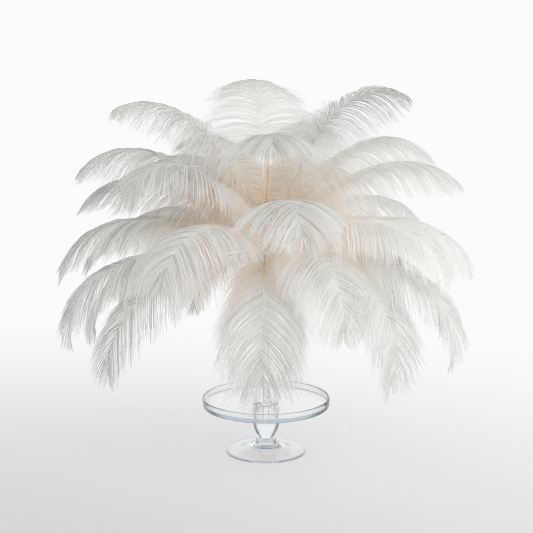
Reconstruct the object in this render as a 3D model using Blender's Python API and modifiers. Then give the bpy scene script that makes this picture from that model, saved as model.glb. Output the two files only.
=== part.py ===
"""Ostrich feather centrepiece: a bunch of arching plumes on a footed glass stand.

Metres, +Z up. The origin is on the floor under the middle of the glass foot, the
viewer looks along +Y, and +X is to the viewer's right. A clear rod stands on the
glass plate and carries a foam ball, and every quill is pushed into that ball.
"""

import math
from typing import NamedTuple

import bmesh
import bpy
from mathutils import Vector

OBJECT_NAME = "ostrich_feather_centrepiece"

# ---- Driving dimensions -------------------------------------------------------------

PLATE_RADIUS = 0.125            # a common 25 cm glass cake stand
STAND_HEIGHT = 0.112            # from the surface it stands on to the top of the rim
PLATE_DEPTH = 0.0195            # rim top down to the plate's underside
PLATE_FLOOR = 0.0125            # rim top down to the plate's upper face
RIM_WALL = 0.004
PLATE_FILLET = 0.003            # where the plate's upper face meets the rim
PLATE_CORNER = 0.006            # rounded lower edge of the plate
FOOT_RADIUS = 0.079
FOOT_RING = 0.006               # width of the flat ring that the foot stands on

# Outlines as (radius, height), each listed downwards and outwards.
STEM_OUTLINE = (
    (0.0245, 0.0880),
    (0.0275, 0.0760),
    (0.0275, 0.0640),
    (0.0245, 0.0500),
    (0.0155, 0.0310),           # the waist
    (0.0155, 0.0295),
    (0.0190, 0.0280),           # the collar
    (0.0200, 0.0250),
    (0.0190, 0.0220),
)
FOOT_TOP_OUTLINE = (
    (0.0225, 0.0175),
    (0.0320, 0.0125),
    (0.0500, 0.0080),
    (0.0770, 0.0042),
    (0.0790, 0.0025),
)
FOOT_HOLLOW_OUTLINE = (
    (0.0000, 0.0120),
    (0.0280, 0.0095),
    (0.0500, 0.0040),
)

ROD_RADIUS = 0.006
ROD_FILLET = 0.004
ROD_FOOT_RADIUS = 0.022
ROD_FOOT_THICKNESS = 0.003

BALL_RADIUS = 0.040
BALL_CENTRE_HEIGHT = 0.405
SOCKET_DEPTH = 0.030

QUILL_DIAMETER = 0.004
VANE_HALF_WIDTH = 0.016         # the dense band beside the shaft
VANE_START = 0.16               # share of the length that is bare quill
VANE_FULL = 0.36
VANE_END_SHARE = 0.35           # how wide the band still is at the tip
VANE_EDGE_SHARE = 0.25          # edge thickness as a share of the quill's
VANE_CAMBER = 0.28              # how far the band's edges hang below the shaft

EDGE = 0.001                    # width of the small softened edges
FIT_GAP = 0.0003                # gap between pieces that touch

# ---- Fineness -----------------------------------------------------------------------

STAND_STEPS = 40
ROD_STEPS = 16
BALL_STEPS = 20
BALL_ARCS = 9
FEATHER_SEGMENTS = 14
MERGE_DISTANCE = 0.00005


class Feather(NamedTuple):
    """One plume: how it leaves the ball, and how it arches over. Angles in degrees."""

    name: str
    azimuth: float              # 0 points along +X, 90 along +Y
    elevation: float            # above the horizon, where it leaves the ball
    droop: float                # how far its direction has turned down at the tip
    bend: float                 # exponent: a high one keeps the shaft straight at first
    length: float               # from the ball's surface to the tip


FEATHERS = (
    Feather("feather_top", 100, 80, 90, 3.0, 0.356),
    # Upper ring
    Feather("feather_upper_front", -87, 68, 133, 2.6, 0.366),
    Feather("feather_upper_right", 7, 68, 107, 3.0, 0.418),
    Feather("feather_upper_back_right", 66, 64, 110, 2.2, 0.370),
    Feather("feather_upper_back_left", 125, 58, 100, 2.2, 0.350),
    Feather("feather_upper_left", 180, 69, 101, 2.2, 0.417),
    # Shoulder ring
    Feather("feather_shoulder_front", -77, 44, 122, 2.0, 0.321),
    Feather("feather_shoulder_right", -1, 45, 92, 2.0, 0.404),
    Feather("feather_shoulder_right_rear", 20, 51, 108, 2.5, 0.406),
    Feather("feather_shoulder_back_right", 62, 44, 110, 2.0, 0.370),
    Feather("feather_shoulder_back", 96, 48, 125, 2.0, 0.345),
    Feather("feather_shoulder_back_left", 132, 45, 105, 2.2, 0.390),
    Feather("feather_shoulder_left_rear", 164, 36, 92, 2.1, 0.396),
    Feather("feather_shoulder_left", 181, 50, 105, 2.2, 0.411),
    Feather("feather_shoulder_left_front", 212, 54, 145, 2.35, 0.369),
    # Middle ring
    Feather("feather_middle_front_left", 238, 26, 111, 1.9, 0.375),
    Feather("feather_middle_right_front", -24, 23, 115, 2.2, 0.388),
    Feather("feather_middle_right", -8, 20, 95, 2.2, 0.406),
    Feather("feather_middle_right_rear", 12, 17, 100, 2.2, 0.385),
    Feather("feather_middle_right_back", 33, 26, 81, 2.2, 0.365),
    Feather("feather_middle_back_right", 78, 24, 116, 1.9, 0.343),
    Feather("feather_middle_back_left", 112, 26, 115, 1.9, 0.356),
    Feather("feather_middle_left_back", 142, 20, 100, 2.2, 0.400),
    Feather("feather_middle_left_rear", 167, 19, 100, 2.2, 0.375),
    Feather("feather_middle_left", 182, 18, 103, 2.4, 0.418),
    # Low ring
    Feather("feather_low_front", -92, -5, 84, 0.8, 0.318),
    Feather("feather_low_front_right", -57, 13, 122, 1.6, 0.314),
    Feather("feather_low_right_front", -39, 2, 123, 1.6, 0.424),
    Feather("feather_low_right", -16, 0, 124, 2.4, 0.462),
    Feather("feather_low_right_rear", 14, 2, 110, 2.2, 0.430),
    Feather("feather_low_right_back", 40, 0, 110, 2.0, 0.430),
    Feather("feather_low_back_right", 66, 2, 108, 1.8, 0.412),
    Feather("feather_low_back", 92, -2, 108, 1.6, 0.402),
    Feather("feather_low_back_left", 118, 2, 108, 1.8, 0.412),
    Feather("feather_low_left_back", 143, 0, 110, 2.2, 0.430),
    Feather("feather_low_left_rear", 167, 0, 110, 2.2, 0.430),
    Feather("feather_low_left", 193, 1, 119, 2.8, 0.448),
    Feather("feather_low_left_front", 207, -4, 95, 1.7, 0.414),
)


# ---- Scene and materials ------------------------------------------------------------

def clear_scene() -> None:
    """Remove every object that the file starts with."""
    for obj in list(bpy.data.objects):
        bpy.data.objects.remove(obj, do_unlink=True)


def new_collection(name: str) -> bpy.types.Collection:
    """Make a collection in the scene."""
    collection = bpy.data.collections.new(name)
    bpy.context.scene.collection.children.link(collection)
    return collection


def principled(name: str, colour: tuple, roughness: float, transmission: float = 0.0):
    """Make a plain Principled material; colour is linear red, green and blue."""
    material = bpy.data.materials.new(name)
    material.use_nodes = True
    shader = material.node_tree.nodes["Principled BSDF"]
    shader.inputs["Base Color"].default_value = (*colour, 1.0)
    shader.inputs["Roughness"].default_value = roughness
    shader.inputs["Metallic"].default_value = 0.0
    shader.inputs["Transmission Weight"].default_value = transmission
    return material


def add_object(name: str, mesh, material, collection) -> bpy.types.Object:
    """Put a mesh in the scene as a named object with its material."""
    obj = bpy.data.objects.new(name, mesh)
    obj.data.materials.append(material)
    collection.objects.link(obj)
    return obj


# ---- Turned pieces ------------------------------------------------------------------

def turned(name: str, profile: list, steps: int, material, collection) -> bpy.types.Object:
    """Turn a profile of (radius, height) points, listed down the outer side, about +Z."""
    mesh = bpy.data.meshes.new(name)
    edges = [(i, i + 1) for i in range(len(profile) - 1)]
    mesh.from_pydata([(radius, 0.0, height) for radius, height in profile], edges, [])
    obj = add_object(name, mesh, material, collection)
    screw = obj.modifiers.new("Turn", "SCREW")
    screw.axis = "Z"
    screw.steps = steps
    screw.render_steps = steps
    screw.use_merge_vertices = True
    screw.merge_threshold = MERGE_DISTANCE
    screw.use_smooth_shade = True
    return obj


def arc(centre: tuple, radius: float, start: float, end: float, count: int) -> list:
    """Give count + 1 points of a circle's arc, from one angle to another, in degrees."""
    points = []
    for i in range(count + 1):
        angle = math.radians(start + (end - start) * i / count)
        points.append((centre[0] + radius * math.cos(angle), centre[1] + radius * math.sin(angle)))
    return points


def build_stand(material, collection) -> bpy.types.Object:
    """Make the fused glass stand: plate with a low rim, stem, collar and hollow foot."""
    underside = STAND_HEIGHT - PLATE_DEPTH
    floor = STAND_HEIGHT - PLATE_FLOOR
    lip = RIM_WALL / 2
    inner = PLATE_RADIUS - RIM_WALL
    foot_edge = FOOT_RADIUS - EDGE
    profile = [(0.0, floor)]
    profile += arc((inner - PLATE_FILLET, floor + PLATE_FILLET), PLATE_FILLET, -90, 0, 2)
    profile += arc((PLATE_RADIUS - lip, STAND_HEIGHT - lip), lip, 180, 0, 4)
    profile += arc((PLATE_RADIUS - PLATE_CORNER - EDGE, underside + PLATE_CORNER), PLATE_CORNER, 0, -90, 3)
    profile += [(STEM_OUTLINE[0][0], underside)]
    profile += STEM_OUTLINE
    profile += FOOT_TOP_OUTLINE
    profile += [(foot_edge, 0.0), (foot_edge - FOOT_RING, 0.0)]
    profile += reversed(FOOT_HOLLOW_OUTLINE)
    return turned("glass_stand", profile, STAND_STEPS, material, collection)


def build_rod(material, collection) -> bpy.types.Object:
    """Make the clear rod that stands on the plate, with its small round foot."""
    bottom = STAND_HEIGHT - PLATE_FLOOR + FIT_GAP
    top = BALL_CENTRE_HEIGHT - BALL_RADIUS + SOCKET_DEPTH - FIT_GAP
    foot_top = bottom + ROD_FOOT_THICKNESS
    profile = [
        (0.0, top),
        (ROD_RADIUS - EDGE, top),
        (ROD_RADIUS, top - EDGE),
        (ROD_RADIUS, foot_top + ROD_FILLET),
        (ROD_RADIUS + ROD_FILLET, foot_top),
        (ROD_FOOT_RADIUS - EDGE, foot_top),
        (ROD_FOOT_RADIUS, foot_top - EDGE),
        (ROD_FOOT_RADIUS, bottom),
        (0.0, bottom),
    ]
    return turned("clear_rod", profile, ROD_STEPS, material, collection)


def build_ball(material, collection) -> bpy.types.Object:
    """Make the foam ball, with the socket that the rod's end sits in."""
    bore = ROD_RADIUS + FIT_GAP
    mouth = math.degrees(math.acos(bore / BALL_RADIUS))
    profile = arc((0.0, BALL_CENTRE_HEIGHT), BALL_RADIUS, 90, -mouth, BALL_ARCS)
    profile[0] = (0.0, BALL_CENTRE_HEIGHT + BALL_RADIUS)
    socket_end = BALL_CENTRE_HEIGHT - BALL_RADIUS + SOCKET_DEPTH
    profile += [(bore, socket_end), (0.0, socket_end)]
    return turned("foam_ball", profile, BALL_STEPS, material, collection)


# ---- Feathers -----------------------------------------------------------------------

def shaft_points(feather: Feather, count: int) -> tuple:
    """Give the shaft's points and directions, from the ball's surface to the tip.

    The shaft stays in the upright plane of its azimuth. Its slope starts at the
    elevation and turns down by droop * share ** bend along the length.
    """
    azimuth = math.radians(feather.azimuth)
    outward = Vector((math.cos(azimuth), math.sin(azimuth), 0.0))
    up = Vector((0.0, 0.0, 1.0))

    def direction(share: float) -> Vector:
        slope = math.radians(feather.elevation - feather.droop * share ** feather.bend)
        return outward * math.cos(slope) + up * math.sin(slope)

    point = Vector((0.0, 0.0, BALL_CENTRE_HEIGHT)) + direction(0.0) * (BALL_RADIUS + 2 * FIT_GAP)
    points = [point.copy()]
    step = feather.length / count
    for i in range(count):
        point = point + direction((i + 0.5) / count) * step
        points.append(point.copy())
    directions = [direction(i / count) for i in range(count + 1)]
    return points, directions


def half_width(share: float) -> float:
    """Give the vane's half width at a share of the length: quill, full band, rounded tip."""
    quill = QUILL_DIAMETER / 2
    if share <= VANE_START:
        return quill
    if share < VANE_FULL:
        rise = (share - VANE_START) / (VANE_FULL - VANE_START)
        return quill + (VANE_HALF_WIDTH - quill) * rise
    fall = ((share - VANE_FULL) / (1.0 - VANE_FULL)) ** 3
    return VANE_HALF_WIDTH * (1.0 - (1.0 - VANE_END_SHARE) * fall)


def build_feather(feather: Feather, material, collection) -> bpy.types.Object:
    """Make one feather: a cambered sheet along the arching shaft, thickened at the shaft."""
    points, directions = shaft_points(feather, FEATHER_SEGMENTS)
    azimuth = math.radians(feather.azimuth)
    side = Vector((-math.sin(azimuth), math.cos(azimuth), 0.0))

    mesh = bpy.data.meshes.new(feather.name)
    bm = bmesh.new()
    bmesh.ops.create_grid(bm, x_segments=2, y_segments=FEATHER_SEGMENTS, size=1.0)
    weight_of = {}
    for vertex in bm.verts:
        row = round((vertex.co.y + 1.0) / 2.0 * FEATHER_SEGMENTS)
        across = round(vertex.co.x)
        share = row / FEATHER_SEGMENTS
        width = half_width(share)
        normal = directions[row].cross(side)
        sag = VANE_CAMBER * abs(across) * (width - QUILL_DIAMETER / 2)
        vertex.co = points[row] + side * (across * width) - normal * sag
        is_quill = share <= VANE_START
        weight_of[vertex.index] = (1.0 - 0.8 * share) if across == 0 or is_quill else 0.0
    bm.to_mesh(mesh)
    bm.free()

    obj = add_object(feather.name, mesh, material, collection)
    group = obj.vertex_groups.new(name="thickness")
    for index, weight in weight_of.items():
        group.add([index], weight, "REPLACE")
    solid = obj.modifiers.new("Thickness", "SOLIDIFY")
    solid.thickness = QUILL_DIAMETER
    solid.offset = 0.0
    solid.vertex_group = group.name
    solid.thickness_vertex_group = VANE_EDGE_SHARE
    return obj


# ---- The whole object ---------------------------------------------------------------

def main() -> None:
    """Build every piece of the centrepiece."""
    clear_scene()
    collection = new_collection(OBJECT_NAME)
    glass = principled("clear glass", (0.93, 0.97, 0.97), 0.02, transmission=1.0)
    acrylic = principled("clear acrylic", (0.97, 0.98, 0.98), 0.05, transmission=1.0)
    foam = principled("white foam", (0.90, 0.88, 0.84), 0.8)
    plume = principled("white ostrich plume", (0.88, 0.86, 0.82), 0.7)

    build_stand(glass, collection)
    build_rod(acrylic, collection)
    build_ball(foam, collection)
    for feather in FEATHERS:
        build_feather(feather, plume, collection)


main()
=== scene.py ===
"""Looks of the ostrich feather centrepiece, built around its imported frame.

Metres, +Z up, in the frame's own axes: the origin is on the floor under the middle
of the glass foot, the viewer looks along +Y, and +X is to the viewer's right.

Every plume is one piece. Its shaft line is read from the frame's own solid for that
plume, and one Geometry Nodes tree grows the shaft and the barbs along it.
"""

import logging
import math
from dataclasses import dataclass, field
from enum import Enum, IntEnum

import bmesh
import bpy
from bpy.types import GeometryNodeTree, Material, Mesh, NodeOutputs, NodeTree, Object
from bpy.types import NodeSocket as Socket
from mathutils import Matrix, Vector

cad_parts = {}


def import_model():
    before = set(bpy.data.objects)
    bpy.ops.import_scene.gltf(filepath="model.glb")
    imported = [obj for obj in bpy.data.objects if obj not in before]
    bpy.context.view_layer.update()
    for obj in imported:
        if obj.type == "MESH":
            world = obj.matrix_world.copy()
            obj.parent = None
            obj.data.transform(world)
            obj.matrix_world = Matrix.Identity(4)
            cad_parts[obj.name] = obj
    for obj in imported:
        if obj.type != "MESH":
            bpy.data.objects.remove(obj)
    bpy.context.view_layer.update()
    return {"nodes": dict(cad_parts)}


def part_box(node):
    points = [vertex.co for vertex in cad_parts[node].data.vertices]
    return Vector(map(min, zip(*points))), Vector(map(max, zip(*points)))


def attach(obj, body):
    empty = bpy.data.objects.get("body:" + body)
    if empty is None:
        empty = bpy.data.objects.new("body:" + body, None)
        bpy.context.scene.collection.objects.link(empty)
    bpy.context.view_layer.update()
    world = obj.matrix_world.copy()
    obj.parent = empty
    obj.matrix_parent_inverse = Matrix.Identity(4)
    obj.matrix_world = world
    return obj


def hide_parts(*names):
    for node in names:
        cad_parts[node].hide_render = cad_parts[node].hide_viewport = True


BODY = "root"
PREFIX = "feather_"  # starts the names of the frame's nodes for plumes
MERGE_DISTANCE = 0.00002
BALL_HEIGHT = 0.405  # the foam ball's centre, where the lines of the shafts meet
SHARP_ANGLE = 40  # degrees, past which a turned piece's edge stays crisp
WHITE = (1.0, 1.0, 1.0, 1.0)
DOWN = (0.0, 0.0, -1.0)

# Kinds of node, under the names that the menus give them.
MATH = "ShaderNodeMath"
VECTOR_MATH = "ShaderNodeVectorMath"
MIX = "ShaderNodeMix"
MAP_RANGE = "ShaderNodeMapRange"
FLOAT_CURVE = "ShaderNodeFloatCurve"
NOISE = "ShaderNodeTexNoise"
RANDOM = "FunctionNodeRandomValue"
ROTATE = "ShaderNodeVectorRotate"
SPLIT = "ShaderNodeSeparateXYZ"
ATTRIBUTE = "ShaderNodeAttribute"
SAMPLE_CURVE = "GeometryNodeSampleCurve"
STORE = "GeometryNodeStoreNamedAttribute"
SET_MATERIAL = "GeometryNodeSetMaterial"
CURVE_RADIUS = "GeometryNodeSetCurveRadius"

log = logging.getLogger("centrepiece")


# ---- Small tools shared by every piece ----

def linear(colour: str) -> tuple[float, float, float, float]:
    """Turn an sRGB colour into a linear one.

    Args:
        colour: six hex digits after a #, such as #F2EEE6.

    Returns:
        Red, green, blue and an alpha of 1.
    """
    channels = [int(colour[i:i + 2], 16) / 255.0 for i in (1, 3, 5)]
    parts = [c / 12.92 if c <= 0.04045 else ((c + 0.055) / 1.055) ** 2.4 for c in channels]
    return (*parts, 1.0)


def add(tree: NodeTree, kind: str, inputs: dict | tuple = (), operation: str = "",
        output: int | str = 0, **settings) -> Socket:
    """Add a node, set it, and give each input a value or a link.

    Args:
        tree: the tree that the node goes into.
        kind: the node's type.
        inputs: values or output sockets, by input position or by socket identifier.
        operation: what a maths node works out.
        output: which of the node's outputs to give back.
        **settings: the node's own properties.

    Returns:
        The output socket that was asked for, or None if the node has no outputs.
    """
    made = tree.nodes.new(kind)
    if operation:
        made.operation = operation
    for name, value in settings.items():
        setattr(made, name, value)
    pairs = inputs.items() if isinstance(inputs, dict) else enumerate(inputs)
    by_identifier = {socket.identifier: socket for socket in made.inputs}
    for key, value in pairs:
        socket = by_identifier[key] if isinstance(key, str) else made.inputs[key]
        if isinstance(value, Socket):
            tree.links.new(value, socket)
        else:
            socket.default_value = value
    return made.outputs[output] if made.outputs else None


def shape_curve(socket: Socket, points: tuple) -> Socket:
    """Give a Float Curve node its points.

    Args:
        socket: the node's output.
        points: (position, value) pairs, both from 0 to 1, in order.

    Returns:
        The same output, for chaining.
    """
    curve = socket.node.mapping.curves[0]
    while len(curve.points) < len(points):
        curve.points.new(0.5, 0.5)
    for point, place in zip(curve.points, points):
        point.location = place
    socket.node.mapping.update()
    return socket


def new_object(name: str, mesh: Mesh) -> Object:
    """Put a mesh in the scene as an object at the origin.

    Args:
        name: the object's name.
        mesh: its mesh.

    Returns:
        The object.
    """
    obj = bpy.data.objects.new(name, mesh)
    bpy.context.scene.collection.objects.link(obj)
    return obj


def new_material(name: str, **values) -> Material:
    """Make a node material from the Principled shader.

    Args:
        name: the material's name.
        **values: the shader's inputs, with an underscore for each space.

    Returns:
        The material.
    """
    material = bpy.data.materials.new(name)
    material.use_nodes = True
    shader = material.node_tree.nodes["Principled BSDF"]
    for key, value in values.items():
        shader.inputs[key.replace("_", " ")].default_value = value
    return material


def hand_over(piece: Object, node: str) -> None:
    """Let a finished piece stand for a CAD node, on the one body that there is.

    Args:
        piece: the finished mesh object.
        node: the CAD node that it replaces.
    """
    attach(piece, BODY)
    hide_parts(node)
    log.info("%s: %d faces", piece.name, len(piece.data.polygons))


# ---- Finishes ----

@dataclass(frozen=True)
class PressedGlass:
    """Clear soda-lime glass, pressed and fire-polished.

    Almost colourless in the thin, and blue-green where the light goes a long way
    through it, as at a rim.
    """

    absorption: str = "#B6CBD8"
    density: float = 5.0
    ior: float = 1.5

    def make(self) -> Material:
        """Build the material.

        Returns:
            The material.
        """
        material = new_material("clear_glass_pressed_polished", Base_Color=WHITE, Roughness=0.0,
                                IOR=self.ior, Transmission_Weight=1.0)
        tree = material.node_tree
        volume = add(tree, "ShaderNodeVolumeAbsorption",
                     {"Color": linear(self.absorption), "Density": self.density})
        tree.links.new(volume, tree.nodes["Material Output"].inputs["Volume"])
        return material


@dataclass(frozen=True)
class CastAcrylic:
    """Clear cast acrylic, cut and flame-polished: colourless, its gloss softer than glass."""

    ior: float = 1.49
    roughness: float = 0.03

    def make(self) -> Material:
        """Build the material.

        Returns:
            The material.
        """
        return new_material("clear_acrylic_cast_polished", Base_Color=WHITE,
                            Roughness=self.roughness, IOR=self.ior, Transmission_Weight=1.0)


@dataclass(frozen=True)
class BeadFoam:
    """Expanded polystyrene, moulded from beads: matt white, with the beads' seams showing."""

    face: str = "#F1EEE8"
    seam: str = "#D9D4CA"
    bead: float = 0.0035  # a bead's width
    seam_share: float = 0.12  # how much of a bead's width its seam takes
    seam_depth: float = 0.0004
    bump_strength: float = 0.5
    roughness: float = 0.85

    def make(self) -> Material:
        """Build the material.

        Returns:
            The material.
        """
        material = new_material("white_foam_moulded_beads", Roughness=self.roughness)
        tree = material.node_tree
        shader = tree.nodes["Principled BSDF"]
        place = add(tree, "ShaderNodeTexCoord", output="Object")
        edge = add(tree, "ShaderNodeTexVoronoi", {"Vector": place, "Scale": 1.0 / self.bead},
                   feature="DISTANCE_TO_EDGE")
        face = add(tree, MAP_RANGE, {"Value": edge, "From Max": self.seam_share})
        colour = add(tree, MIX, {"Factor_Float": face, "A_Color": linear(self.seam),
                                 "B_Color": linear(self.face)}, output=2, data_type="RGBA")
        bump = add(tree, "ShaderNodeBump", {"Height": face, "Strength": self.bump_strength,
                                            "Distance": self.seam_depth})
        tree.links.new(colour, shader.inputs["Base Color"])
        tree.links.new(bump, shader.inputs["Normal"])
        return material


@dataclass(frozen=True)
class PlumeBarbs:
    """Bleached ostrich barbs: keratin threads, soft and matt, that let light through.

    Cold white over most of the plume and warm cream near the quill, where the
    bleach leaves more of the natural colour.
    """

    tip: str = "#FEFEFD"
    base: str = "#FEF9F2"
    cream_share: float = 0.52  # how far along the shaft the cream has turned white
    darkest: float = 0.50  # the brightness of the darkest painted shade on a strand, beside the palest
    translucency: float = 0.58  # how much of the light goes through
    roughness: float = 0.5
    ior: float = 1.45

    def make(self) -> Material:
        """Build the material. It reads the plume mesh's attribute along, and its attribute of
        painted shade for the darker strands and greyer ends.

        Returns:
            The material.
        """
        material = new_material("white_ostrich_barbs_bleached", Roughness=self.roughness,
                                IOR=self.ior)
        tree = material.node_tree
        shader = tree.nodes["Principled BSDF"]
        along = add(tree, ATTRIBUTE, output="Fac", attribute_name="along")
        painted_strand_shade = add(tree, ATTRIBUTE, output="Fac", attribute_name="painted_strand_shade")
        whiteness = add(tree, MAP_RANGE, {"Value": along, "From Max": self.cream_share},
                        interpolation_type="SMOOTHSTEP")
        colour = add(tree, MIX, {"Factor_Float": whiteness, "A_Color": linear(self.base),
                                 "B_Color": linear(self.tip)}, output=2, data_type="RGBA")
        # Painted shade: darker strands stand in for the shadow between strands, and greyer ends
        # stand in for the shade at the strands' tips.
        painted_shade = add(tree, MAP_RANGE, {"Value": painted_strand_shade, "To Min": 1.0, "To Max": self.darkest})
        shaded = add(tree, VECTOR_MATH, {"Vector": colour, "Scale": painted_shade}, "SCALE")
        tree.links.new(shaded, shader.inputs["Base Color"])
        light = add(tree, "ShaderNodeBsdfTranslucent", {"Color": shaded})
        both = add(tree, "ShaderNodeMixShader",
                   {0: self.translucency, 1: shader.outputs["BSDF"], 2: light})
        tree.links.new(both, tree.nodes["Material Output"].inputs["Surface"])
        return material


@dataclass(frozen=True)
class PlumeShaft:
    """The plume's horn shaft, bleached: tan at the quill, then ivory, with a low gloss."""

    quill: str = "#DDB27C"
    tip: str = "#ECE7DD"
    tan_fade: float = 0.20  # the share of the shaft over which the tan turns ivory
    roughness: float = 0.4
    ior: float = 1.54

    def make(self) -> Material:
        """Build the material, which reads the plume mesh's attribute pale.

        Returns:
            The material.
        """
        material = new_material("ivory_horn_shaft_bleached", Roughness=self.roughness,
                                IOR=self.ior)
        tree = material.node_tree
        pale = add(tree, ATTRIBUTE, output="Fac", attribute_name="pale")
        paleness = add(tree, MAP_RANGE, {"Value": pale, "From Max": self.tan_fade})
        colour = add(tree, MIX, {"Factor_Float": paleness, "A_Color": linear(self.quill),
                                 "B_Color": linear(self.tip)}, output=2, data_type="RGBA")
        tree.links.new(colour, tree.nodes["Principled BSDF"].inputs["Base Color"])
        return material


# ---- Glass stand, rod and ball ----

def arc(centre: tuple, radius: float, start: float, end: float, count: int) -> list:
    """Lay points on a circle's arc.

    Args:
        centre: the circle's centre.
        radius: its radius.
        start: the first point's angle, in degrees.
        end: the last point's angle.
        count: the number of steps.

    Returns:
        The points.
    """
    points = []
    for i in range(count + 1):
        angle = math.radians(start + (end - start) * i / count)
        points.append((centre[0] + radius * math.cos(angle),
                       centre[1] + radius * math.sin(angle)))
    return points


def smooth_line(points: tuple, count: int) -> list:
    """Run a smooth line through points.

    Args:
        points: the points, in order.
        count: the steps between each two of them.

    Returns:
        The line's points.
    """
    ends = (points[0], *points, points[-1])
    line = []
    for a, b, c, d in zip(ends, ends[1:], ends[2:], ends[3:]):
        for i in range(count):
            t = i / count
            line.append(tuple(
                0.5 * (2 * q + (r - p) * t + (2 * p - 5 * q + 4 * r - s) * t * t
                       + (3 * q - p - 3 * r + s) * t ** 3)
                for p, q, r, s in zip(a, b, c, d)))
    line.append(points[-1])
    return line


def turned(name: str, profile: list, steps: int) -> Object:
    """Turn a profile about +Z into a smooth closed mesh.

    Args:
        name: the object's name.
        profile: (radius, height) points, listed down the outer side.
        steps: how many steps the turn takes.

    Returns:
        The object, with no modifier left on it.
    """
    mesh = bpy.data.meshes.new(name)
    edges = [(i, i + 1) for i in range(len(profile) - 1)]
    mesh.from_pydata([(radius, 0.0, height) for radius, height in profile], edges, [])
    bm = bmesh.new()
    bm.from_mesh(mesh)
    bmesh.ops.spin(bm, geom=bm.verts[:] + bm.edges[:], cent=(0, 0, 0), axis=(0, 0, 1),
                   angle=math.tau, steps=steps, use_merge=True)
    bmesh.ops.remove_doubles(bm, verts=bm.verts[:], dist=MERGE_DISTANCE)
    bmesh.ops.recalc_face_normals(bm, faces=bm.faces[:])
    bm.to_mesh(mesh)
    bm.free()
    mesh.shade_smooth()
    mesh.set_sharp_from_angle(angle=math.radians(SHARP_ANGLE))
    return new_object(name, mesh)


@dataclass
class GlassStand:
    """The footed glass plate, one fused piece: low-rimmed plate, stem, collar, hollow foot."""

    radius: float = 0.125
    height: float = 0.112
    depth: float = 0.0195  # rim top down to the plate's underside
    floor: float = 0.0125  # rim top down to the plate's upper face
    wall: float = 0.004
    fillet: float = 0.003
    corner: float = 0.006
    foot_radius: float = 0.079
    foot_ring: float = 0.006  # the flat ring that the foot stands on
    foot_lip: float = 0.002  # the rounding over the foot's outer edge,
    foot_lip_height: float = 0.0022  # and the height of its centre
    edge: float = 0.001
    corner_steps: int = 6
    lip_steps: int = 12
    underside_steps: int = 8
    line_steps: int = 4
    steps: int = 160
    stem: tuple = ((0.0245, 0.0925), (0.0255, 0.0880), (0.0275, 0.0760), (0.0275, 0.0640),
                   (0.0245, 0.0500), (0.0190, 0.0375), (0.0155, 0.0310), (0.0155, 0.0295))
    collar: tuple = ((0.0155, 0.0295), (0.0190, 0.0280), (0.0200, 0.0250), (0.0190, 0.0220),
                     (0.0205, 0.0195))
    foot: tuple = ((0.0205, 0.0195), (0.0225, 0.0175), (0.0320, 0.0125), (0.0500, 0.0080),
                   (0.0770, 0.0042))
    hollow: tuple = ((0.0500, 0.0040), (0.0280, 0.0095), (0.0120, 0.0117), (0.0000, 0.0120))

    def build(self) -> Object:
        """Turn the stand's outline.

        Returns:
            The stand's object.
        """
        underside = self.height - self.depth
        floor = self.height - self.floor
        lip = self.wall / 2
        inner = self.radius - self.wall
        foot_edge = self.foot_radius - self.edge
        profile = [(0.0, floor)]
        profile += arc((inner - self.fillet, floor + self.fillet), self.fillet, -90, 0,
                       self.corner_steps)
        profile += arc((self.radius - lip, self.height - lip), lip, 180, 0, self.lip_steps)
        profile += arc((self.radius - self.corner, underside + self.corner), self.corner, 0, -90,
                       self.underside_steps)
        profile += smooth_line(self.stem, self.line_steps)
        profile += smooth_line(self.collar, self.line_steps)[1:]
        profile += smooth_line(self.foot, self.line_steps)[1:]
        profile += arc((foot_edge - self.edge, self.foot_lip_height), self.foot_lip, 60, 0,
                       self.line_steps)
        profile += [(foot_edge, 0.0), (foot_edge - self.foot_ring, 0.0)]
        profile += smooth_line(self.hollow, self.line_steps)
        return turned("glass_stand_turned", profile, self.steps)

    def dress(self, piece: Object) -> None:
        """Give the stand its glass."""
        piece.data.materials.append(PressedGlass().make())
        hand_over(piece, "glass_stand")


@dataclass
class ClearRod:
    """The clear rod that stands on the plate and carries the ball."""

    radius: float = 0.006
    foot_radius: float = 0.022
    foot_thickness: float = 0.003
    fillet: float = 0.004
    edge: float = 0.001
    edge_steps: int = 4
    fillet_steps: int = 6
    steps: int = 48

    def build(self) -> Object:
        """Turn the rod between the heights that the frame gives.

        Returns:
            The rod's object.
        """
        low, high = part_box("clear_rod")
        foot_top = low.z + self.foot_thickness
        profile = [(0.0, high.z)]
        profile += arc((self.radius - self.edge, high.z - self.edge), self.edge, 90, 0,
                       self.edge_steps)
        profile += arc((self.radius + self.fillet, foot_top + self.fillet), self.fillet, 180, 270,
                       self.fillet_steps)
        profile += arc((self.foot_radius - self.edge, foot_top - self.edge), self.edge, 90, 0,
                       self.edge_steps)
        profile += [(self.foot_radius, low.z), (0.0, low.z)]
        return turned("clear_rod_turned", profile, self.steps)

    def dress(self, piece: Object) -> None:
        """Give the rod its acrylic."""
        piece.data.materials.append(CastAcrylic().make())
        hand_over(piece, "clear_rod")


@dataclass
class FoamBall:
    """The foam ball that every quill is pushed into, with the rod's socket below."""

    radius: float = 0.040
    centre_height: float = BALL_HEIGHT
    bore: float = 0.0063
    socket_depth: float = 0.030
    steps: int = 96
    arcs: int = 48

    def build(self) -> Object:
        """Turn the ball with its socket.

        Returns:
            The ball's object.
        """
        mouth = math.degrees(math.acos(self.bore / self.radius))
        profile = arc((0.0, self.centre_height), self.radius, 90, -mouth, self.arcs)
        profile[0] = (0.0, self.centre_height + self.radius)
        end = self.centre_height - self.radius + self.socket_depth
        profile += [(self.bore, end), (0.0, end)]
        return turned("foam_ball_turned", profile, self.steps)

    def dress(self, piece: Object) -> None:
        """Give the ball its foam."""
        piece.data.materials.append(BeadFoam().make())
        hand_over(piece, "foam_ball")


# ---- Plumes ----

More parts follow.
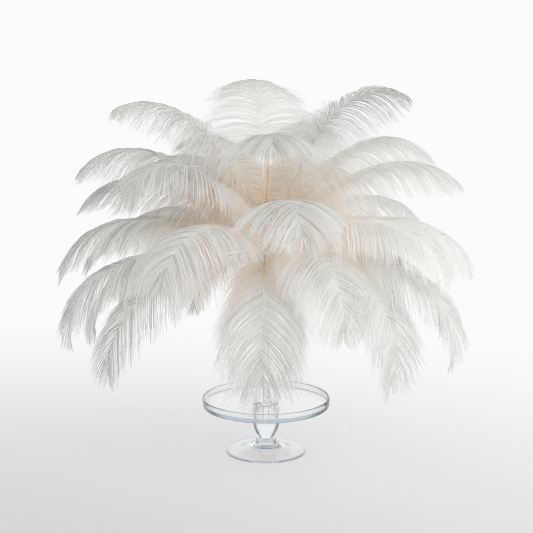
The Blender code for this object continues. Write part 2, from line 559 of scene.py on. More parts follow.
class Tier(Enum):
    """The rings of plumes, from the top of the bunch down, by the word in their names."""

    TOP = "top"
    UPPER = "upper"
    SHOULDER = "shoulder"
    MIDDLE = "middle"
    LOW = "low"


@dataclass
class ShaftLine:
    """A plume's shaft, as points read from the frame's solid, from the ball to the tip."""

    node: str
    pair_distance: float = 0.008  # the solid has a vertex above and below each point
    middle_width: float = 0.0004  # how far from the shaft's upright plane they can lie
    run_on: float = 0.020  # how far the line is run on towards the ball
    quill_end: float = 0.020  # where the quill ends, from the ball's centre
    points: list = field(default_factory=list)
    root: Vector = field(default_factory=Vector)
    side: Vector = field(default_factory=Vector)

    def read(self, centre: Vector) -> "ShaftLine":
        """Find the points along the middle of the solid.

        Args:
            centre: the ball's centre, which the shaft's upright plane runs through.

        Returns:
            This line, with its points in order, the end of its quill and its level
            sideways direction.
        """
        mesh = bpy.data.objects[self.node].data
        spots = [vertex.co - centre for vertex in mesh.vertices]
        middle = sum(spots, Vector()) / len(spots)
        self.side = Vector((-middle.y, middle.x, 0.0)).normalized()
        spots = [spot for spot in spots if abs(spot.dot(self.side)) < self.middle_width]
        groups = []
        for spot in spots:
            near = [g for g in groups if (g[0] - spot).length < self.pair_distance]
            if near:
                near[0].append(spot)
            else:
                groups.append([spot])
        left = [(min(g, key=lambda p: p.length) + max(g, key=lambda p: p.length)) / 2
                for g in groups]
        line = [min(left, key=lambda p: p.length)]
        left.remove(line[0])
        while left:
            line.append(min(left, key=lambda p: (p - line[-1]).length))
            left.remove(line[-1])
        outward = line[0].normalized()
        start = line[0] - outward * self.run_on
        self.points = [centre + spot for spot in (start, *line)]
        self.root = centre + outward * self.quill_end
        return self


class Draw(IntEnum):
    """The random draws. Where locks and barbs share a name, the barbs' is the next number."""

    ROOT = 1
    SWEEP = 2
    LIFT = 4
    DROOP = 6
    LENGTH = 8
    TWIST = 10
    BARB_SHADE = 11
    LOOSE = 12
    LOCK_SHADE = 13


@dataclass
class BarbRows:
    """The part of the plume's tree that grows two rows of barbs on its shaft.

    Each barb is a narrow ribbon on a circular arc. It leaves the shaft forwards and
    outwards and bends down under its own weight. Barbs keep to locks, which share
    their lean and run together towards their ends. Angles are in radians. Each step
    keeps on self the sockets that later steps need.
    """

    tree: GeometryNodeTree
    given: NodeOutputs  # the tree's own inputs
    shaft: Socket
    length_by_share: tuple = (
        (0.0, 0.36), (0.10, 0.60), (0.22, 0.84), (0.40, 1.0), (0.66, 0.96), (0.86, 0.66),
        (1.0, 0.23))
    # Right angles between a barb and the shaft, from the quill to the tip.
    sweep_by_share: tuple = ((0.0, 0.90), (0.30, 0.76), (0.60, 0.64), (0.86, 0.44), (1.0, 0.12))
    uneven_locks: float = 17.0  # how often the locks' width changes along the shaft
    loose_in_down: float = 0.35  # the share of loose barbs that the down adds
    loose_stray: float = 0.055  # how far a loose barb strays,
    down_stray: float = 0.40  # and how far one in the down does
    lock_sweep: float = 0.018  # how far locks differ in their sweep,
    lock_lift: float = 0.035  # their lift,
    lock_droop: float = 0.025  # their droop
    lock_length: float = 0.15  # and their length
    barb_length: float = 0.14  # how far the barbs of a lock differ in length
    loose_length: float = -0.10
    # Painted shade: strands picked at random are darkened to stand in for the shadow between
    # strands.
    lock_shade: float = 0.4  # how far locks differ in painted shade, beside single barbs
    loose_shade: float = -0.2
    shade_range: tuple = (-1.4, -0.1)  # the draws that give the darkest painted shade on a barb and a white one
    shade_start: tuple = (0.25, 0.55)  # where along the shaft the painted shade starts and is full
    least_shade: float = 0.2  # how much of it shows before that
    tip_shade_power: float = 3.0  # how late a barb's end turns grey with painted shade
    least_turn: float = 0.05  # no barb is quite straight
    pull_power: float = 0.5  # how early a barb is drawn into its lock
    wave_scale: float = 38.0  # waves in a metre
    wave_power: float = 2.0  # how late the waves start
    twist: float = 0.9  # how far a ribbon is turned about its line, at most
    half_widths: tuple = (0.5, 0.18)  # at the root and at the end, in barb widths
    drift_rate: float = 11.0  # how fast sweep and lift drift along the shaft
    drift_sides: float = 5.0  # how far apart the two sides' drifts are
    sweep_drift: float = 31.0  # where each of the drifts starts
    lift_drift: float = 57.0

    def grow(self) -> Socket:
        """Grow the barbs.

        Returns:
            The barbs as one mesh, with its finish and with what the finish reads.
        """
        for step in (self.lay_ribbons, self.set_roots, self.gather_locks, self.aim,
                     self.set_length, self.bend, self.draw_in, self.widen, self.set_painted_shade):
            step()
        barbs = add(self.tree, "GeometryNodeSetPosition", {
            "Geometry": self.ribbons, "Position": self.path})
        for name, value in {"along": self.along, "painted_strand_shade": self.painted_strand_shade}.items():
            barbs = add(self.tree, STORE, {"Geometry": barbs, "Name": name, "Value": value})
        barbs = add(self.tree, "GeometryNodeSetShadeSmooth", {"Geometry": barbs})
        return add(self.tree, SET_MATERIAL, {
            "Geometry": barbs, "Material": self.given["Barb Material"]})

    def chance(self, key: Socket, draw: int) -> Socket:
        """Give a fixed random number from -1 to 1 for each key."""
        seed = add(self.tree, MATH, (self.given["Seed"], float(draw)), "ADD")
        return add(self.tree, RANDOM, {"Min_001": -1.0, "Max_001": 1.0, "ID": key, "Seed": seed},
                   output=1)

    def drift(self, start: float) -> Socket:
        """Give a number that changes slowly along each side of the shaft.

        Args:
            start: the place in the noise where it starts.

        Returns:
            The number, mostly from -1 to 1.
        """
        tree = self.tree
        place = add(tree, MATH, (self.hand, self.drift_sides, start), "MULTIPLY_ADD")
        place = add(tree, MATH, (self.guide, self.drift_rate, place), "MULTIPLY_ADD")
        place = add(tree, MATH, (place, self.given["Seed"]), "ADD")
        noise = add(tree, NOISE, {"W": place, "Scale": 1.0, "Detail": 2.0}, noise_dimensions="1D")
        # The noise keeps near 0.5, and this spreads it out about 0.
        return add(tree, MATH, (noise, 4.0, -2.0), "MULTIPLY_ADD")

    def vary(self, value: Socket | float, draw: Draw, lock: float,
             barb: Socket | float) -> Socket:
        """Let a value differ between locks, and between the barbs of a lock.

        Args:
            value: the value to start from.
            draw: the locks' draw, which the barbs' one follows.
            lock: how far locks differ.
            barb: how far barbs differ.

        Returns:
            The value for each barb.
        """
        for key, turn, share in ((self.key, draw, lock), (self.barb, draw + 1, barb)):
            value = add(self.tree, MATH, (self.chance(key, turn), share, value), "MULTIPLY_ADD")
        return value

    def moved(self, spot: Socket | tuple, *ways: tuple) -> Socket:
        """Move a spot along each of some ways.

        Args:
            spot: the spot to start from.
            *ways: pairs of a direction and how far to go.

        Returns:
            The spot that this leads to.
        """
        for way, far in ways:
            step = add(self.tree, VECTOR_MATH, {"Vector": way, "Scale": far}, "SCALE")
            spot = add(self.tree, VECTOR_MATH, (spot, step), "ADD")
        return spot

    def lay_ribbons(self) -> None:
        """Lay a ribbon for each barb, still 1 m long and wide, about the origin."""
        tree = self.tree
        roots = add(tree, "GeometryNodePoints", {"Count": self.given["Barbs"]})
        keep = tree.nodes.new("GeometryNodeCaptureAttribute")
        keep.capture_items.new("INT", "Barb")
        tree.links.new(roots, keep.inputs["Geometry"])
        tree.links.new(add(tree, "GeometryNodeInputIndex"), keep.inputs["Barb"])
        self.barb = keep.outputs["Barb"]
        verts = add(tree, MATH, (self.given["Barb Steps"], 1.0), "ADD")
        ribbon = add(tree, "GeometryNodeMeshGrid", {"Vertices X": verts, "Vertices Y": 2})
        copies = add(tree, "GeometryNodeInstanceOnPoints", {
            "Points": keep.outputs["Geometry"], "Instance": ribbon})
        # How far a point is along its barb, from 0 to 1, and across it, from -1 to 1.
        spot = add(tree, "GeometryNodeInputPosition")
        self.reach = add(tree, MATH, (add(tree, SPLIT, (spot,)), 0.5), "ADD")
        self.across = add(tree, MATH, (add(tree, SPLIT, (spot,), output=1), 2.0), "MULTIPLY")
        self.ribbons = add(tree, "GeometryNodeRealizeInstances", {"Geometry": copies})

    def set_roots(self) -> None:
        """Choose each barb's side, and where its root sits on the shaft."""
        tree, given = self.tree, self.given
        self.odd = add(tree, MATH, (self.barb, 2.0), "MODULO")
        self.hand = add(tree, MATH, (self.odd, 2.0, -1.0), "MULTIPLY_ADD")
        place = add(tree, MATH, (self.chance(self.barb, Draw.ROOT), self.barb), "ADD")
        place = add(tree, MATH, (place, given["Barbs"]), "DIVIDE", use_clamp=True)
        self.along = add(tree, MAP_RANGE, {
            "Value": place, "To Min": given["Quill Share"], "To Max": 1.0})
        self.root = add(tree, SAMPLE_CURVE, {"Curves": self.shaft, "Factor": self.along},
                        output="Position", mode="FACTOR")
        self.down = add(tree, MAP_RANGE, {
            "Value": self.along, "From Max": given["Down Share"], "To Min": 1.0, "To Max": 0.0})

    def gather_locks(self) -> None:
        """Choose the lock that each barb belongs to, unless it's a loose one."""
        tree, given = self.tree, self.given
        uneven = add(tree, MATH, (self.along, self.uneven_locks, self.hand), "MULTIPLY_ADD")
        uneven = add(tree, NOISE, {"W": uneven, "Scale": 1.0, "Detail": 1.0},
                     noise_dimensions="1D")
        lock = add(tree, MATH, (self.along, given["Locks"], uneven), "MULTIPLY_ADD")
        lock = add(tree, MATH, (lock,), "FLOOR")
        lock_place = add(tree, MATH, (lock, given["Locks"]), "DIVIDE")
        self.key = add(tree, MATH, (lock, 2.0, self.odd), "MULTIPLY_ADD")
        draw = add(tree, MATH, (self.chance(self.barb, Draw.LOOSE), 0.5, 0.5), "MULTIPLY_ADD")
        share = add(tree, MATH, (self.down, self.loose_in_down, given["Loose Share"]),
                    "MULTIPLY_ADD")
        self.loose = add(tree, MATH, (draw, share), "LESS_THAN")
        self.guide = add(tree, MIX, {
            "Factor_Float": self.loose, "A_Float": lock_place, "B_Float": self.along})
        lock_root = add(tree, SAMPLE_CURVE, {"Curves": self.shaft, "Factor": self.guide},
                        output="Position", mode="FACTOR")
        self.ahead = lock_root.node.outputs["Tangent"]
        self.to_lock = add(tree, VECTOR_MATH, (lock_root, self.root), "SUBTRACT")

    def aim(self) -> None:
        """Choose the direction that each barb leaves the shaft in."""
        tree, given = self.tree, self.given
        outward = add(tree, ROTATE, {
            "Vector": given["Side"], "Axis": self.ahead, "Angle": given["Roll"]})
        upward = add(tree, VECTOR_MATH, (self.ahead, outward), "CROSS_PRODUCT")
        stray = add(tree, MATH, (self.loose, self.loose_stray, given["Stray"]), "MULTIPLY_ADD")
        self.stray = add(tree, MATH, (self.down, self.down_stray, stray), "MULTIPLY_ADD")
        sweep = shape_curve(add(tree, FLOAT_CURVE, {"Value": self.guide}), self.sweep_by_share)
        sweep = add(tree, MATH, (sweep, math.pi / 2), "MULTIPLY")
        sweep = add(tree, MATH, (self.drift(self.sweep_drift), given["Wander"], sweep),
                    "MULTIPLY_ADD")
        sweep = self.vary(sweep, Draw.SWEEP, self.lock_sweep, self.stray)
        spread = add(tree, MATH, (self.down, given["Down Spread"], self.stray), "MULTIPLY_ADD")
        lift = add(tree, MATH, (self.drift(self.lift_drift), given["Wander"], given["Lift"]),
                   "MULTIPLY_ADD")
        lift = self.vary(lift, Draw.LIFT, self.lock_lift, spread)
        forward = add(tree, MATH, (sweep,), "COSINE")
        aside = add(tree, MATH, (sweep,), "SINE")
        level = add(tree, MATH, (aside, add(tree, MATH, (lift,), "COSINE")), "MULTIPLY")
        level = add(tree, MATH, (level, self.hand), "MULTIPLY")
        rise = add(tree, MATH, (aside, add(tree, MATH, (lift,), "SINE")), "MULTIPLY")
        self.leave = self.moved(
            (0.0, 0.0, 0.0), (self.ahead, forward), (outward, level), (upward, rise))

    def set_length(self) -> None:
        """Choose each barb's length."""
        tree, given = self.tree, self.given
        place = add(tree, MATH, (self.guide, given["Taper Share"]), "MULTIPLY")
        length = shape_curve(add(tree, FLOAT_CURVE, {"Value": place}), self.length_by_share)
        length = add(tree, MATH, (length, given["Barb Length"]), "MULTIPLY")
        share = self.vary(1.0, Draw.LENGTH, self.lock_length, self.barb_length)
        share = add(tree, MATH, (self.loose, self.loose_length, share), "MULTIPLY_ADD")
        self.length = add(tree, MATH, (length, share), "MULTIPLY")

    def bend(self) -> None:
        """Bend each barb on an arc, in the plane of its direction and of its weight."""
        tree = self.tree
        downward = add(tree, VECTOR_MATH, (self.leave, DOWN), "DOT_PRODUCT", output="Value")
        room = add(tree, MATH, (downward,), "ARCCOSINE")
        fall = add(tree, VECTOR_MATH, {"Vector": self.leave, "Scale": downward}, "SCALE")
        fall = add(tree, VECTOR_MATH, (DOWN, fall), "SUBTRACT")
        self.fall = add(tree, VECTOR_MATH, (fall,), "NORMALIZE")
        droop = self.vary(self.given["Droop"], Draw.DROOP, self.lock_droop, self.stray)
        turn = add(tree, MATH, (droop, room), "MULTIPLY")
        turn = add(tree, MATH, (turn, self.least_turn), "MAXIMUM")
        radius = add(tree, MATH, (self.length, turn), "DIVIDE")
        angle = add(tree, MATH, (turn, self.reach), "MULTIPLY")
        self.sine = add(tree, MATH, (angle,), "SINE")
        self.cosine = add(tree, MATH, (angle,), "COSINE")
        on = add(tree, MATH, (radius, self.sine), "MULTIPLY")
        below = add(tree, MATH, (radius, self.cosine), "MULTIPLY")
        below = add(tree, MATH, (radius, below), "SUBTRACT")
        self.path = self.moved(self.root, (self.leave, on), (self.fall, below))

    def draw_in(self) -> None:
        """Draw each barb into its lock towards its end, and make it wave a little."""
        tree = self.tree
        pull = add(tree, MATH, (self.reach, self.pull_power), "POWER")
        pull = add(tree, MATH, (pull, self.given["Lock Pull"]), "MULTIPLY")
        path = self.moved(self.path, (self.to_lock, pull))
        wave = add(tree, NOISE, {"Vector": path, "Scale": self.wave_scale, "Detail": 1.0},
                   output="Color", noise_dimensions="3D")
        wave = add(tree, VECTOR_MATH, (wave, (0.5, 0.5, 0.5)), "SUBTRACT")
        amount = add(tree, MATH, (self.reach, self.wave_power), "POWER")
        amount = add(tree, MATH, (amount, self.given["Frizz"]), "MULTIPLY")
        self.path = self.moved(path, (wave, amount))

    def widen(self) -> None:
        """Give each ribbon its width, turned about the barb's own line."""
        tree = self.tree
        hinge = add(tree, VECTOR_MATH, (self.leave, self.fall), "CROSS_PRODUCT")
        line = self.moved((0.0, 0.0, 0.0), (self.leave, self.cosine), (self.fall, self.sine))
        twist = add(tree, MATH, (self.chance(self.barb, Draw.TWIST), self.twist), "MULTIPLY")
        width_way = add(tree, ROTATE, {"Vector": hinge, "Axis": line, "Angle": twist})
        at_root, at_end = self.half_widths
        half = add(tree, MAP_RANGE, {"Value": self.reach, "To Min": at_root, "To Max": at_end})
        half = add(tree, MATH, (half, self.given["Barb Width"]), "MULTIPLY")
        half = add(tree, MATH, (half, self.across), "MULTIPLY")
        self.path = self.moved(self.path, (width_way, half))

    def set_painted_shade(self) -> None:
        """Choose each barb's painted shade, from 0 for white to 1 for the darkest: darker strands
        stand in for the shadow between strands.
        """
        tree, given = self.tree, self.given
        darkest, white = self.shade_range
        starts, full = self.shade_start
        # Painted shade: locks and single barbs picked at random are darkened, and loose barbs a
        # little more, to stand in for the shadow between strands.
        painted_strand_shade = add(tree, MATH, (self.chance(self.key, Draw.LOCK_SHADE), self.lock_shade,
                                self.chance(self.barb, Draw.BARB_SHADE)), "MULTIPLY_ADD")
        painted_strand_shade = add(tree, MATH, (self.loose, self.loose_shade, painted_strand_shade), "MULTIPLY_ADD")
        painted_strand_shade = add(tree, MAP_RANGE, {
            "Value": painted_strand_shade, "From Min": darkest, "From Max": white, "To Min": 1.0, "To Max": 0.0})
        depth = add(tree, MAP_RANGE, {
            "Value": self.along, "From Min": starts, "From Max": full,
            "To Min": self.least_shade, "To Max": 1.0})
        depth = add(tree, MATH, (depth, given["Shade Depth"]), "MULTIPLY")
        painted_strand_shade = add(tree, MATH, (painted_strand_shade, depth), "MULTIPLY")
        # Painted shade: each barb's end greys, by as much as the plume's tip shade input gives.
        ends = add(tree, MATH, (self.reach, self.tip_shade_power), "POWER")
        self.painted_strand_shade = add(tree, MATH, (ends, given["Tip Shade"], painted_strand_shade), "MULTIPLY_ADD")


@dataclass
class PlumeTree:
    """The Geometry Nodes tree that grows one plume: a tapered shaft and its barbs.

    Its inputs are listed by kind of socket, each with its starting value. Quill, Shaft,
    Tan and Down Share say how far along the shaft the barbs start, and how far along
    it the shaft, its tan and the down end.
    """

    inputs: dict = field(default_factory=lambda: {
        "NodeSocketVector": {"Side": (0.0, 1.0, 0.0), "Root": (0.0, 0.0, 0.0)},
        "NodeSocketFloat": {
            "Roll": 0.0, "Quill Share": 0.09, "Shaft Share": 0.94, "Tan Share": 0.02,
            "Quill Radius": 0.0016, "Tip Radius": 0.00025, "Barb Length": 0.110,
            "Taper Share": 1.0, "Barb Width": 0.0008, "Lift": 0.10, "Droop": 0.64,
            "Lock Pull": 0.95, "Loose Share": 0.16, "Wander": 0.03, "Stray": 0.002,
            # The shade depth and tip shade inputs set painted shade: how dark the random strands
            # get, and how much the barbs' ends grey.
            "Down Share": 0.42, "Down Spread": 0.40, "Frizz": 0.016, "Shade Depth": 0.38,
            "Tip Shade": 0.08},
        "NodeSocketInt": {"Barbs": 2750, "Barb Steps": 5, "Locks": 88, "Seed": 0},
        "NodeSocketMaterial": {"Barb Material": None, "Shaft Material": None},
    })
    shaft_points: int = 40
    shaft_sides: int = 6
    shaft_taper: float = 0.75  # the share of the shaft over which it tapers
    tree: GeometryNodeTree = None
    ids: dict = field(default_factory=dict)

    def build(self) -> "PlumeTree":
        """Make the tree and note its inputs' identifiers.

        Returns:
            This plan, ready for use.
        """
        tree = self.tree = bpy.data.node_groups.new("ostrich_plume", "GeometryNodeTree")
        face = tree.interface
        for end in ("INPUT", "OUTPUT"):
            face.new_socket(name="Geometry", in_out=end, socket_type="NodeSocketGeometry")
        for kind, values in self.inputs.items():
            for name, value in values.items():
                socket = face.new_socket(name=name, in_out="INPUT", socket_type=kind)
                if value is not None:
                    socket.default_value = value
                self.ids[name] = socket.identifier
        given = tree.nodes.new("NodeGroupInput").outputs
        shaft = self.shaft_curve(given)
        joined = tree.nodes.new("GeometryNodeJoinGeometry")
        tree.links.new(BarbRows(tree, given, shaft).grow(), joined.inputs[0])
        tree.links.new(self.shaft_mesh(given, shaft), joined.inputs[0])
        tree.links.new(joined.outputs[0], tree.nodes.new("NodeGroupOutput").inputs[0])
        return self

    def shaft_curve(self, given: NodeOutputs) -> Socket:
        """Turn the input's edges into a smooth curve, cut short near the tip.

        Args:
            given: the tree's own inputs.

        Returns:
            The curve, with its radius.
        """
        tree = self.tree
        line = add(tree, "GeometryNodeMeshToCurve", {"Mesh": given["Geometry"]})
        line = add(tree, "GeometryNodeCurveSplineType", {"Curve": line},
                   spline_type="CATMULL_ROM")
        line = add(tree, "GeometryNodeTrimCurve", {"Curve": line, "End": given["Shaft Share"]})
        line = add(tree, "GeometryNodeResampleCurve", {
            "Curve": line, "Count": self.shaft_points})
        along = add(tree, "GeometryNodeSplineParameter", output="Factor")
        radius = add(tree, MAP_RANGE, {
            "Value": along, "From Max": self.shaft_taper, "To Min": given["Quill Radius"],
            "To Max": given["Tip Radius"]})
        return add(tree, CURVE_RADIUS, {"Curve": line, "Radius": radius})

    def shaft_mesh(self, given: NodeOutputs, shaft: Socket) -> Socket:
        """Give the shaft its round, tapering body, and run its bare quill on into the ball.

        Args:
            given: the tree's own inputs.
            shaft: the shaft's curve.

        Returns:
            The body, with its finish.
        """
        tree = self.tree
        along = add(tree, "GeometryNodeSplineParameter", output="Factor")
        pale = add(tree, MATH, (along, given["Tan Share"]), "SUBTRACT")
        marked = add(tree, STORE, {"Geometry": shaft, "Name": "pale", "Value": pale})
        start = add(tree, SAMPLE_CURVE, {"Curves": shaft, "Factor": 0.0},
                    output="Position", mode="FACTOR")
        quill = add(tree, "GeometryNodeCurvePrimitiveLine", {
            "Start": given["Root"], "End": start})
        quill = add(tree, CURVE_RADIUS, {"Curve": quill, "Radius": given["Quill Radius"]})
        whole = tree.nodes.new("GeometryNodeJoinGeometry")
        tree.links.new(quill, whole.inputs[0])
        tree.links.new(marked, whole.inputs[0])
        ring = add(tree, "GeometryNodeCurvePrimitiveCircle", {
            "Resolution": self.shaft_sides, "Radius": 1.0})
        body = add(tree, "GeometryNodeCurveToMesh", {
            "Curve": whole.outputs[0], "Profile Curve": ring,
            "Scale": add(tree, "GeometryNodeInputRadius"), "Fill Caps": True})
        return add(tree, SET_MATERIAL, {"Geometry": body, "Material": given["Shaft Material"]})


@dataclass
class Plume:
    """One ostrich plume, from its quill in the ball to its curled tip."""

    node: str
    seed: int
    seed_step: int = 100  # more than there are draws, so that no two plumes share one
    roll_to_viewer: float = 0.14  # the plumes at the sides show the viewer their upper face
    values: dict = field(default_factory=dict)  # the tree's inputs that differ for this plume

    def build(self, centre: Vector, plan: PlumeTree, barbs: Material,
              shaft: Material) -> Object:
        """Grow the plume on the frame's line for it.

        Args:
            centre: the ball's centre.
            plan: the tree that grows every plume.
            barbs: the barbs' finish.
            shaft: the shaft's finish.

        Returns:
            The plume as a plain mesh object.
        """
        line = ShaftLine(self.node).read(centre)
        carrier_mesh = bpy.data.meshes.new("shaft_line")
        edges = [(i, i + 1) for i in range(len(line.points) - 1)]
        carrier_mesh.from_pydata(line.points, edges, [])
        carrier = new_object("shaft_line", carrier_mesh)
        grow = carrier.modifiers.new("Plume", "NODES")
        grow.node_group = plan.tree
        settings = {
            "Side": line.side,
            "Root": line.root,
            "Roll": self.roll_to_viewer * line.side.y,
            "Seed": self.seed * self.seed_step,
            "Barb Material": barbs,
            "Shaft Material": shaft,
            **self.values,
        }
        for name, value in settings.items():
            grow[plan.ids[name]] = value
        graph = bpy.context.evaluated_depsgraph_get()
        mesh = bpy.data.meshes.new_from_object(
            carrier.evaluated_get(graph), preserve_all_data_layers=True, depsgraph=graph)
        bpy.data.objects.remove(carrier)
        mesh.name = self.node
        return new_object("plume_" + self.node.removeprefix(PREFIX), mesh)

    def dress(self, piece: Object) -> None:
        """Let the plume stand for its CAD solid."""
        hand_over(piece, self.node)


@dataclass
class Bunch:
    """All the plumes.

    The tree's inputs that differ are given by a word in the plume's name, by its ring
    and by its whole name. Where two of these speak, the later one holds. Many of them set
    painted shade: how dark the strands and the barbs' ends are on each plume, deepest on
    the left plumes, which the light from the right leaves in shade.
    """

    centre_height: float = BALL_HEIGHT
    by_word: dict = field(default_factory=lambda: {
        "back": {"Barbs": 1850, "Barb Width": 0.0010, "Barb Length": 0.089, "Shade Depth": 0.08},
        "rear": {"Shade Depth": 0.2},
        # Painted shade: the left plumes get darker strands and greyer ends, for the shade that
        # the light from the right leaves them in.
        "left": {"Shade Depth": 0.8, "Loose Share": 0.12, "Tip Shade": 0.15},
    })
    by_tier: dict = field(default_factory=lambda: {
        Tier.TOP: {
            "Lift": 0.02, "Droop": 0.50, "Taper Share": 0.88, "Down Share": 0.60,
            "Down Spread": 1.1, "Loose Share": 0.30, "Shade Depth": 0.25,
            "Barb Length": 0.104, "Quill Radius": 0.0009},
        Tier.UPPER: {"Down Share": 0.65, "Down Spread": 1.1},
        Tier.LOW: {"Lift": 0.05},
    })
    by_plume: dict = field(default_factory=lambda: {
        "upper_front": {
            "Quill Share": 0.48, "Barb Length": 0.098, "Tan Share": 0.40, "Shade Depth": 0.8},
        "upper_right": {
            "Roll": 0.40, "Tan Share": 0.42, "Shade Depth": 0.75, "Loose Share": 0.08,
            "Barbs": 2400, "Locks": 76, "Quill Radius": 0.0010, "Tip Shade": 0.50},
        "upper_left": {"Loose Share": 0.10, "Shade Depth": 0.7, "Locks": 76},
        "shoulder_front": {
            "Quill Share": 0.36, "Tan Share": 0.30, "Loose Share": 0.10, "Locks": 104,
            "Shade Depth": 0.8},
        "shoulder_left_front": {"Tip Shade": 0.6},
        "middle_front_left": {
            "Barb Length": 0.102, "Shade Depth": 0.75, "Tip Shade": 0.4, "Loose Share": 0.16},
        "middle_right": {"Tip Shade": 0.0, "Shade Depth": 0.25},
        "middle_right_front": {"Tip Shade": 0.0, "Shade Depth": 0.25},
        "low_front": {
            "Barb Length": 0.122, "Roll": 0.0, "Shaft Share": 0.92, "Tan Share": 0.15,
            "Barbs": 3600, "Shade Depth": 0.6, "Tip Shade": 0.35, "Loose Share": 0.22,
            "Droop": 0.78},
        "low_front_right": {"Tip Shade": 0.20},
        "low_right_front": {"Tip Shade": 0.25},
        "low_left_front": {"Tip Shade": 0.6, "Shade Depth": 0.95},
    })

    def build(self, nodes: dict) -> None:
        """Grow every plume that the frame has a solid for.

        Args:
            nodes: the frame's nodes, by name.
        """
        plan = PlumeTree().build()
        barbs = PlumeBarbs().make()
        shaft = PlumeShaft().make()
        centre = Vector((0.0, 0.0, self.centre_height))
        for seed, node in enumerate(sorted(n for n in nodes if n.startswith(PREFIX))):
            name = node.removeprefix(PREFIX)
            values = {}
            for word, change in self.by_word.items():
                if word in name:
                    values.update(change)
            values.update(self.by_tier.get(Tier(name.split("_")[0]), {}))
            values.update(self.by_plume.get(name, {}))
            plume = Plume(node, seed, values=values)
            plume.dress(plume.build(centre, plan, barbs, shaft))


# ---- Studio ----

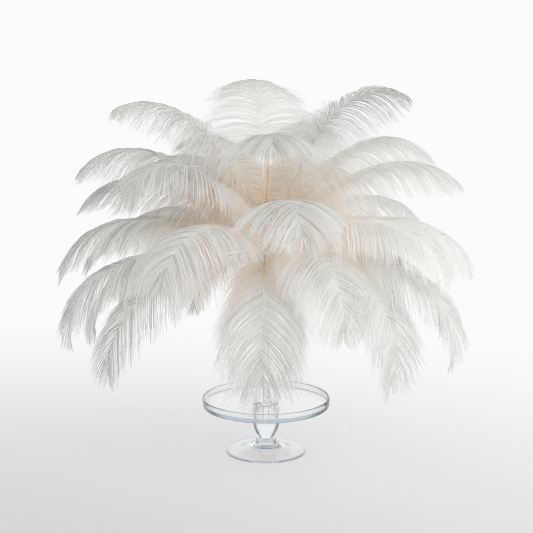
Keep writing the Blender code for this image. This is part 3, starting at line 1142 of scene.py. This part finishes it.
@dataclass
class Studio:
    """A pale floor that runs out into a white room, soft light, and the camera."""

    backdrop: float = 0.965  # brightness behind the object
    backdrop_fade: tuple = (0.70, 0.93)  # where it starts and where it is full
    room_level: float = 0.66  # brightness of the rest of the room, before its lean
    room_lean: tuple = (0.32, -0.95, -0.06)  # brighter on the right and the viewer's side
    room_least: float = 0.2
    light_bounces: int = 32
    pixel_width: float = 1.0  # a crisp picture, as a sharp lens gives
    floor_tone: str = "#9E9EA0"
    painted_floor_glow: float = 0.385  # painted light: the floor glows a little though it is no lamp, so shadows on it and the glass foot over it stay pale
    floor_radius: float = 6.0
    floor_sides: int = 64
    floor_roughness: float = 0.9
    # The fade's centre, to the front left: the floor is darkest there and brightens into the
    # white room away from it, as painted shade.
    floor_centre: tuple = (-0.6, -1.3, 0.0)
    floor_solid: float = 0.6  # the floor starts to fade this far from its centre
    floor_gone: float = 2.6
    lights: tuple = (  # name, place, size and power in watts
        ("key_right", (1.7, -2.2, 1.5), 1.3, 6.0),
        ("fill_low_right", (1.6, -2.0, 0.30), 1.5, 11.0),
        ("top_back", (0.4, 1.6, 2.4), 2.0, 2.0),
    )
    aim: tuple = (0.0, 0.0, 0.45)  # what the lights point at
    camera_place: tuple = (0.001, -2.745, 0.890)
    camera_pitch: float = 10.7  # degrees below level
    lens: float = 97.7
    sensor: float = 36.0

    def build(self) -> None:
        """Set the whole studio up."""
        self.build_room()
        self.build_floor()
        self.build_lights()
        self.build_camera()

    def build_room(self) -> None:
        """Light the room, most of all from the viewer's side and the right.

        Behind the object it is a white backdrop. The two ends of the fade between them
        are given as the forward part of a direction of length 1.
        """
        scene = bpy.context.scene
        scene.view_settings.view_transform = "Standard"
        # Light crosses many faces in the rims of the glass and many barbs in the bunch.
        for kind in ("max", "transmission", "glossy", "diffuse"):
            setattr(scene.cycles, kind + "_bounces", self.light_bounces)
        scene.cycles.filter_width = self.pixel_width
        world = bpy.data.worlds.new("white_room")
        world.use_nodes = True
        tree = world.node_tree
        way = add(tree, "ShaderNodeTexCoord", output="Generated")
        back = add(tree, SPLIT, (way,), output="Y")
        lean = add(tree, VECTOR_MATH, (way, self.room_lean), "DOT_PRODUCT", output="Value")
        front = add(tree, MATH, (lean, self.room_level), "ADD")
        front = add(tree, MATH, (front, self.room_least), "MAXIMUM")
        starts, full = self.backdrop_fade
        share = add(tree, MAP_RANGE, {"Value": back, "From Min": starts, "From Max": full},
                    interpolation_type="SMOOTHSTEP")
        strength = add(tree, MIX, {"Factor_Float": share, "A_Float": front,
                                   "B_Float": self.backdrop})
        tree.links.new(strength, tree.nodes["Background"].inputs["Strength"])
        tree.nodes["Background"].inputs["Color"].default_value = WHITE
        scene.world = world

    def build_floor(self) -> None:
        """Lay a round floor whose edge fades into the room. It glows a little, as painted light,
        and is darkest near its centre at the front left, as painted shade.
        """
        mesh = bpy.data.meshes.new("floor")
        bm = bmesh.new()
        bmesh.ops.create_circle(bm, cap_ends=True, radius=self.floor_radius,
                                segments=self.floor_sides)
        bm.to_mesh(mesh)
        bm.free()
        floor = new_object("floor", mesh)
        # Painted light: the floor glows though it is no lamp, so its shadows and the glass foot
        # over it stay pale.
        material = new_material(
            "pale_floor_paint_painted_glow", Base_Color=linear(self.floor_tone),
            Roughness=self.floor_roughness, Emission_Color=WHITE,
            Emission_Strength=self.painted_floor_glow)
        tree = material.node_tree
        place = add(tree, "ShaderNodeTexCoord", output="Object")
        # Painted shade: the floor fades into the white room away from a point at the front left,
        # so it is darkest there.
        away = add(tree, VECTOR_MATH, (place, self.floor_centre), "DISTANCE", output="Value")
        fade = add(tree, MAP_RANGE, {"Value": away, "From Min": self.floor_solid,
                                     "From Max": self.floor_gone},
                   interpolation_type="SMOOTHSTEP")
        clear = add(tree, "ShaderNodeBsdfTransparent")
        paint = tree.nodes["Principled BSDF"].outputs["BSDF"]
        both = add(tree, "ShaderNodeMixShader", {0: fade, 1: paint, 2: clear})
        tree.links.new(both, tree.nodes["Material Output"].inputs["Surface"])
        floor.data.materials.append(material)

    def build_lights(self) -> None:
        """Hang the soft lights, all aimed at the bunch."""
        for name, place, size, power in self.lights:
            light = bpy.data.lights.new(name, "AREA")
            light.size = size
            light.energy = power
            lamp = bpy.data.objects.new(name, light)
            lamp.location = place
            aim = Vector(self.aim) - Vector(place)
            lamp.rotation_euler = aim.to_track_quat("-Z", "Y").to_euler()
            bpy.context.scene.collection.objects.link(lamp)

    def build_camera(self) -> None:
        """Set the camera where the photograph was taken from."""
        data = bpy.data.cameras.new("camera")
        data.lens = self.lens
        data.sensor_width = self.sensor
        camera = bpy.data.objects.new("camera", data)
        camera.location = self.camera_place
        camera.rotation_euler = (math.radians(90.0 - self.camera_pitch), 0.0, 0.0)
        bpy.context.scene.collection.objects.link(camera)
        bpy.context.scene.camera = camera


def main() -> None:
    """Build every piece around the frame and report it."""
    logging.basicConfig(level=logging.INFO, format="%(name)s: %(message)s")
    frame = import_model()
    for maker in (GlassStand(), ClearRod(), FoamBall()):
        piece = maker.build()
        maker.dress(piece)
    Bunch().build(frame["nodes"])
    Studio().build()


if __name__ == "__main__":
    main()
